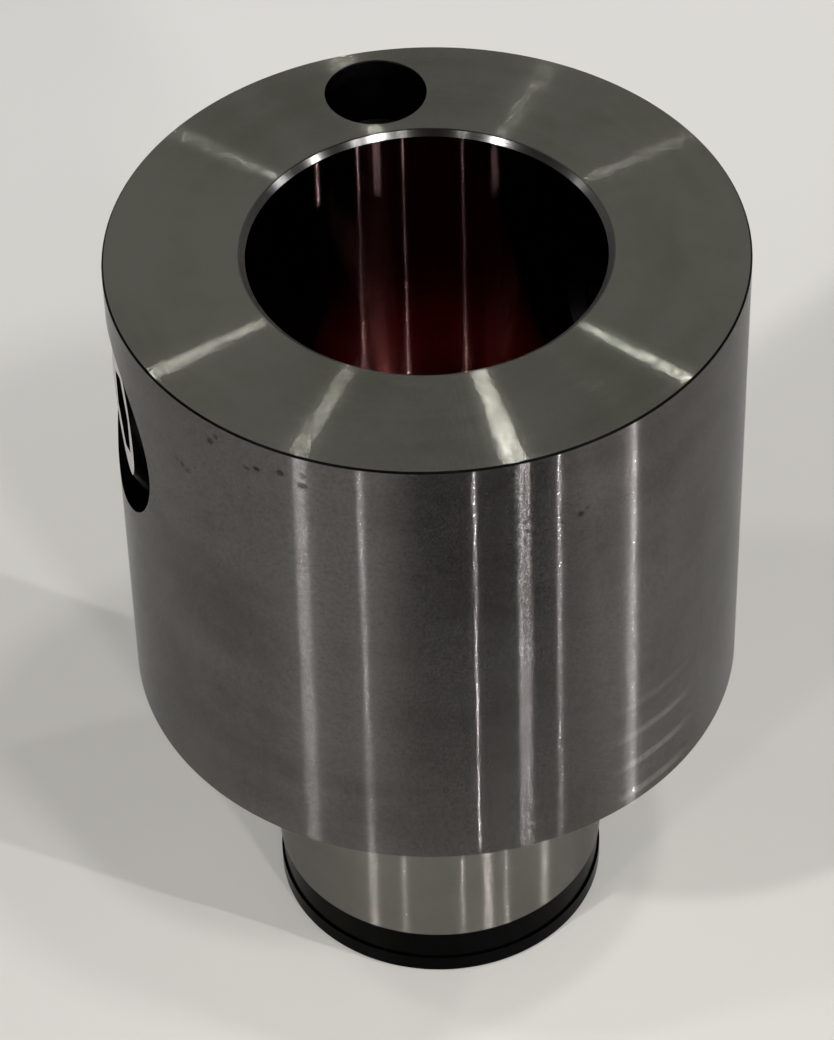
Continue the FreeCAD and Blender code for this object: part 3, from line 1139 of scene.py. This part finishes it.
@dataclass
class Pins:
    """The floating pin across the spigot, the screw that keeps it and the locating pin."""

    sizes: CouplingSizes
    pin_radius: float = 0.00995
    pin_edge: float = 0.0005
    pin_cup_end: float = -0.025662
    pin_cone_end: float = 0.027049
    pin_cone_length: float = 0.005
    cup_radius: float = 0.0075
    cup_depth: float = 0.006
    waist_radius: float = 0.006
    waist_start: float = -0.0055
    waist_end: float = 0.003
    screw_radius: float = 0.00395
    screw_chamfer: float = 0.0006
    screw_start: float = 0.011
    screw_end: float = 0.02649
    dog_radius: float = 0.00245
    dog_end: float = 0.007
    key_radius: float = 0.0023094
    key_depth: float = 0.004
    free_radius: float = 0.0078
    free_end: float = 0.047
    seat_end: float = 0.065
    locating_chamfer: float = 0.001

    def floating_pin(self) -> LathePiece:
        """The pin with a conical cup at one end, a cone at the other and a groove between."""
        cup_floor = self.pin_cup_end + self.cup_depth
        return LathePiece("floating_thrust_pin_ground", TurnedForm(profile(
            Finish.PIN,
            (0.0, cup_floor),
            (self.cup_radius - self.cup_depth, cup_floor),
            (self.cup_radius, self.pin_cup_end),
            (self.pin_radius - self.pin_edge, self.pin_cup_end),
            (self.pin_radius, self.pin_cup_end + self.pin_edge),
            (self.pin_radius, self.waist_start),
            (self.waist_radius, self.waist_start),
            (self.waist_radius, self.waist_end),
            (self.pin_radius, self.waist_end),
            (self.pin_radius, self.pin_cone_end - self.pin_cone_length),
            (self.pin_radius - self.pin_cone_length, self.pin_cone_end),
            (0.0, self.pin_cone_end),
        ), at_height(self.sizes.pin_height), RETAINING_SIDE, PIN_SEGMENTS))

    def retainer(self) -> LathePiece:
        """The small dog point screw with its hexagon socket."""
        centre = at_height(self.sizes.pin_height)
        edge = self.screw_radius - self.screw_chamfer
        key = TurnedForm(profile(
            Finish.SCREW,
            (0.0, self.screw_end - self.key_depth),
            (self.key_radius, self.screw_end - self.key_depth),
            (self.key_radius, self.screw_end + OVERRUN),
            (0.0, self.screw_end + OVERRUN),
        ), centre, RETAINER_SIDE, HEXAGON)
        return LathePiece("pin_retainer_turned", TurnedForm(profile(
            Finish.SCREW,
            (0.0, self.dog_end),
            (self.dog_radius, self.dog_end),
            (self.dog_radius, self.screw_start),
            (edge, self.screw_start),
            (self.screw_radius, self.screw_start + self.screw_chamfer),
            (self.screw_radius, self.screw_end - self.screw_chamfer),
            (edge, self.screw_end),
            (0.0, self.screw_end),
        ), centre, RETAINER_SIDE, SMALL_SCREW_SEGMENTS), [key])

    def locating_pin(self) -> LathePiece:
        """The pin pressed into the flange, slimmer where it stands free."""
        s = self.sizes
        seat = s.locating_hole_radius
        return LathePiece("locating_pin_ground", TurnedForm(profile(
            Finish.PIN,
            (0.0, self.free_end),
            (self.free_radius - self.locating_chamfer, self.free_end),
            (self.free_radius, self.free_end + self.locating_chamfer),
            (self.free_radius, s.flange),
            (seat, s.flange),
            (seat, self.seat_end - self.locating_chamfer),
            (seat - self.locating_chamfer, self.seat_end),
            (0.0, self.seat_end),
        ), LOCATING_SIDE * s.locating_radius, UP, PIN_SEGMENTS))

    def build(self) -> list[bpy.types.Object]:
        """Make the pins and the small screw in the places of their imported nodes.

        Returns:
            The pieces that were made.
        """
        made = []
        for node, body, piece, finish in (
                ("floating_thrust_pin", "floating_pin_body", self.floating_pin(), Finish.PIN),
                ("pin_retainer", "holder", self.retainer(), Finish.SCREW),
                ("locating_pin", "holder", self.locating_pin(), Finish.PIN)):
            part = piece.build()
            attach(part, body)
            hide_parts(node)
            made.append(part)
        return made


@dataclass(frozen=True)
class Lamp:
    """A round lamp that looks at the object, placed by its direction."""

    name: str
    azimuth: float
    elevation: float
    power: float
    diameter: float = 0.12
    shadow: bool = True
    distance: float = 1.6
    colour: Colour = (1.0, 1.0, 1.0)

    def make(self, target: Vector) -> bpy.types.Object:
        """Hang the lamp.

        Args:
            target: The point that it looks at.

        Returns:
            The lamp.
        """
        data = bpy.data.lights.new(self.name, "AREA")
        data.shape = "DISK"
        data.size = self.diameter
        data.energy = self.power
        data.color = self.colour
        data.use_shadow = self.shadow
        lamp = bpy.data.objects.new(self.name, data)
        around = math.radians(self.azimuth)
        above = math.radians(self.elevation)
        direction = Vector((math.cos(around) * math.cos(above),
                            math.sin(around) * math.cos(above), math.sin(above)))
        lamp.location = target + direction * self.distance
        lamp.rotation_euler = direction.to_track_quat("Z", "Y").to_euler()
        lamp.visible_camera = False
        bpy.context.scene.collection.objects.link(lamp)
        return lamp


@dataclass
class Studio:
    """Floor, black flag, lamps, surroundings and camera."""

    floor_radius: float = 1.8
    # Painted light: the table top's colour grows lighter towards the back for how the lamps fall on
    # it.
    floor_colour: Colour = (0.74, 0.72, 0.68)
    far_floor_painted_light: Colour = (0.93, 0.91, 0.87)
    floor_fade: Span = (0.02, 0.26)
    floor_roughness: float = 0.25
    floor_shine: float = 0.3
    surroundings: float = 0.05
    reflected_front: float = 0.01
    reflected_back: float = 0.15
    reflected_behind: Span = (-0.1, 0.6)
    backdrop: float = 0.72
    room_colour: Colour = (1.0, 0.985, 0.96)
    flag_colour: Colour = (0.012, 0.012, 0.012)
    flag_corners: Sequence[tuple[float, float, float]] = (
        (-0.07, -0.13, 0.001), (-0.30, -1.2, 0.001), (0.45, -1.15, 0.001), (0.10, -0.12, 0.001))
    lens: float = 146.37
    sensor_width: float = 36.0
    clip_start: float = 0.01
    lamp_target: float = 0.09
    camera_place: Vector = field(default_factory=lambda: Vector((-0.0950, -0.4840, 0.5651)))
    camera_right: Vector = field(default_factory=lambda: Vector((0.97827, -0.20639, -0.01981)))
    camera_up: Vector = field(default_factory=lambda: Vector((0.15839, 0.68222, 0.71378)))
    lamps: Sequence[Lamp] = (
        Lamp("middle_left", 210.5, 42.0, 6.6, 0.08),
        Lamp("key_right", 293.5, 55.0, 4.5, 0.16),
        Lamp("low_key_left", 218.0, 12.0, 4.9, 0.12),
        Lamp("low_key_right", 286.5, 12.0, 9.8, 0.13),
        Lamp("low_left", 237.0, 12.0, 2.6, 0.03, False),
        Lamp("low_middle", 271.3, 12.0, 3.4, 0.025, False),
        Lamp("low_right", 297.8, 12.0, 4.6, 0.03, False),
        Lamp("low_far_right", 323.8, 12.0, 12.0, 0.035),
        Lamp("high_left", 189.0, 65.0, 1.8, 0.10),
        Lamp("high_right", 320.0, 75.0, 3.1, 0.12),
        Lamp("back_left", 137.0, 46.0, 0.6, 0.07),
        Lamp("back_right", 9.5, 47.0, 1.8, 0.07),
    )

    def lay_floor(self) -> bpy.types.Object:
        """Make the pale table top, painted lighter towards the back for how the lamps fall on it.

        Returns:
            The floor.
        """
        sides = 96
        angles = [2.0 * math.pi * side / sides for side in range(sides)]
        ring = [(self.floor_radius * math.cos(angle), self.floor_radius * math.sin(angle), 0.0)
                for angle in angles]
        mesh = bpy.data.meshes.new("table_top")
        mesh.from_pydata(ring, [], [list(range(sides))])
        shader = Shader(bpy.data.materials.new("table_top"))
        # Painted light: lighter towards the back.
        far = Place.on(shader).y.step(*self.floor_fade)
        principled = shader.node("ShaderNodeBsdfPrincipled", {}, {
            "Base Color": shader.blend(far, self.floor_colour, self.far_floor_painted_light),
            "Roughness": self.floor_roughness, "Specular IOR Level": self.floor_shine})
        shader.surface(principled.outputs[0])
        mesh.materials.append(shader.owner)
        floor = bpy.data.objects.new("table_top", mesh)
        bpy.context.scene.collection.objects.link(floor)
        return floor

    def lay_flag(self) -> bpy.types.Object:
        """Lay the black flag that only reflections see, so the steel has its dark parts.

        Returns:
            The flag.
        """
        shader = Shader(bpy.data.materials.new("black_flag"))
        black = shader.node("ShaderNodeBsdfDiffuse", {}, {"Color": self.flag_colour})
        shader.surface(black.outputs[0])
        mesh = bpy.data.meshes.new("front_flag")
        mesh.from_pydata(self.flag_corners, [], [list(range(len(self.flag_corners)))])
        mesh.materials.append(shader.owner)
        flag = bpy.data.objects.new("front_flag", mesh)
        flag.visible_camera = False
        flag.visible_shadow = False
        flag.visible_diffuse = False
        bpy.context.scene.collection.objects.link(flag)
        return flag

    def surround(self) -> None:
        """Give the room its soft light, what polished steel sees of it and a pale backdrop."""
        world = bpy.data.worlds.new("studio_room")
        shader = Shader(world)
        path = shader.node("ShaderNodeLightPath")
        glossy = Signal(shader, path.outputs["Is Glossy Ray"])
        camera = Signal(shader, path.outputs["Is Camera Ray"])
        split = shader.node("ShaderNodeSeparateXYZ", {}, {
            0: shader.node("ShaderNodeTexCoord").outputs["Generated"]})
        behind = Signal(shader, split.outputs[1]).step(*self.reflected_behind)
        seen = self.reflected_front + behind * (self.reflected_back - self.reflected_front)
        strength = self.surroundings + glossy * (seen - self.surroundings)
        strength = strength + camera * (self.backdrop - strength)
        room = shader.node("ShaderNodeBackground", {}, {
            "Color": self.room_colour, "Strength": strength})
        shader.surface(room.outputs[0])
        bpy.context.scene.world = world

    def place_camera(self) -> bpy.types.Object:
        """Stand the camera where the photograph was taken.

        Returns:
            The camera.
        """
        data = bpy.data.cameras.new("camera")
        data.lens = self.lens
        data.sensor_width = self.sensor_width
        data.clip_start = self.clip_start
        camera = bpy.data.objects.new("camera", data)
        back = self.camera_right.cross(self.camera_up).normalized()
        up = back.cross(self.camera_right).normalized()
        turn = Matrix((self.camera_right.normalized(), up, back)).transposed().to_4x4()
        camera.matrix_world = Matrix.Translation(self.camera_place) @ turn
        bpy.context.scene.collection.objects.link(camera)
        bpy.context.scene.camera = camera
        return camera

    def build(self) -> None:
        """Set up the whole studio."""
        self.lay_floor()
        self.lay_flag()
        self.surround()
        for lamp in self.lamps:
            lamp.make(at_height(self.lamp_target))
        self.place_camera()
        bpy.context.scene.view_settings.view_transform = "Standard"


def main() -> None:
    """Build the object and its studio, and report each piece."""
    logging.basicConfig(level=logging.INFO, format="%(message)s")
    sizes = CouplingSizes()
    for assembly in (HolderBody(sizes), ClampingScrews(sizes), PlasticParts(sizes), Pins(sizes)):
        for piece in assembly.build():
            LOG.info("%s: %s faces", piece.name, len(piece.data.polygons))
    Studio().build()


if __name__ == "__main__":
    main()
